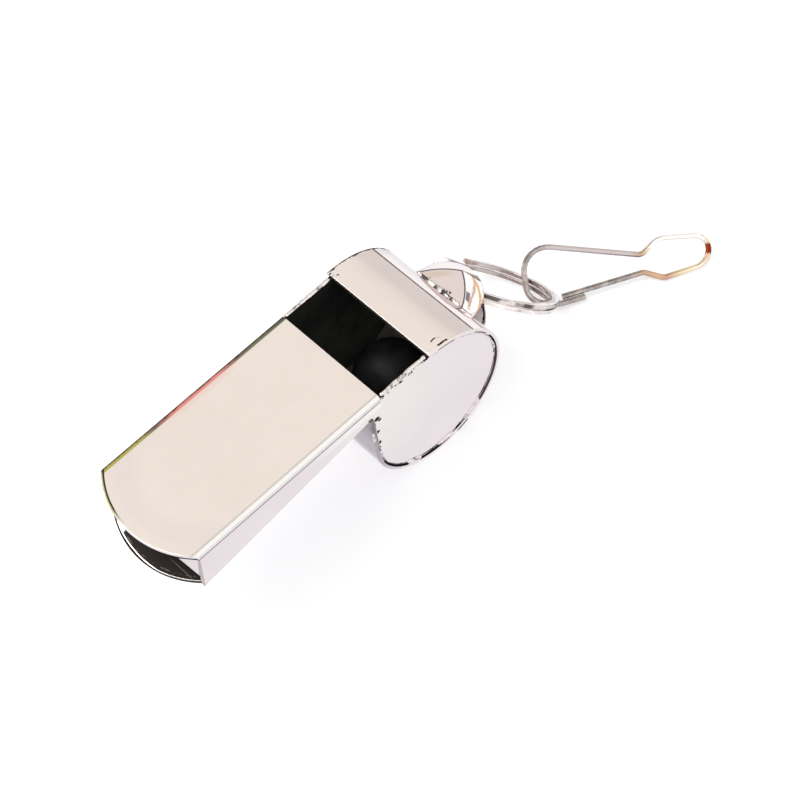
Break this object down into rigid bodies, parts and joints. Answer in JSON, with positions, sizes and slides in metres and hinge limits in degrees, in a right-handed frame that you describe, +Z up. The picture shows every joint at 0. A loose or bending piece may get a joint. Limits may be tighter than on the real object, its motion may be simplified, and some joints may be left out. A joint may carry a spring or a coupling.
{
  "type": "pea whistle with split ring and lanyard hook",
  "caption": "Soldered sheet-metal pea whistle: drum-shaped barrel, tapering mouthpiece and sound window, loose ball inside, with a split ring and a bent wire hook for a lanyard.",
  "frame": {"origin": "middle of the bounding box on the surface that the barrel, the split ring and the wire hook lie on", "axes": "+X from the mouthpiece to the barrel and on to the hook, +Z up through the flat roof, the player's left side is +Y"},
  "size_m": [0.0768, 0.0214, 0.019],
  "materials": {
    "shell_plate": "polished bright plating over thin sheet metal",
    "solder": "uneven plated solder, duller than the sheet, with dark flux marks",
    "pea_plastic": "dull black plastic ball",
    "ring_steel": "bright plated flat spring wire",
    "hook_wire": "satin plated round wire, warm brown where the plating is thin"
  },
  "bodies": {
    "case": {"right_cheek": "shell_plate", "left_cheek": "shell_plate", "roof_plate": "shell_plate", "floor_plate": "shell_plate", "barrel_band": "shell_plate", "lanyard_lug": "shell_plate", "right_seam_solder": "solder", "left_seam_solder": "solder", "window_solder": "solder", "throat_solder": "solder", "lug_upper_solder": "solder", "lug_lower_solder": "solder"},
    "pea": {"pea": "pea_plastic"},
    "split_ring": {"split_ring": "ring_steel"},
    "wire_hook": {"wire_hook": "hook_wire"}
  },
  "joints": [
    {"name": "pea_orbit", "type": "hinge", "parent": "case", "child": "pea", "pos_m": [-0.00178, 0.00268, 0.0095], "axis": [0, 1, 0], "continuous": true},
    {"name": "ring_swing", "type": "hinge", "parent": "case", "child": "split_ring", "pos_m": [0.00976, 0.00268, 0.0108], "axis": [0, 1, 0], "range_deg": [-60, 48]},
    {"name": "hook_swing", "type": "hinge", "parent": "split_ring", "child": "wire_hook", "pos_m": [0.02027, 0.00086, 0.00158], "axis": [-0.05, 0.8, -0.598], "range_deg": [-110, 90]}
  ]
}
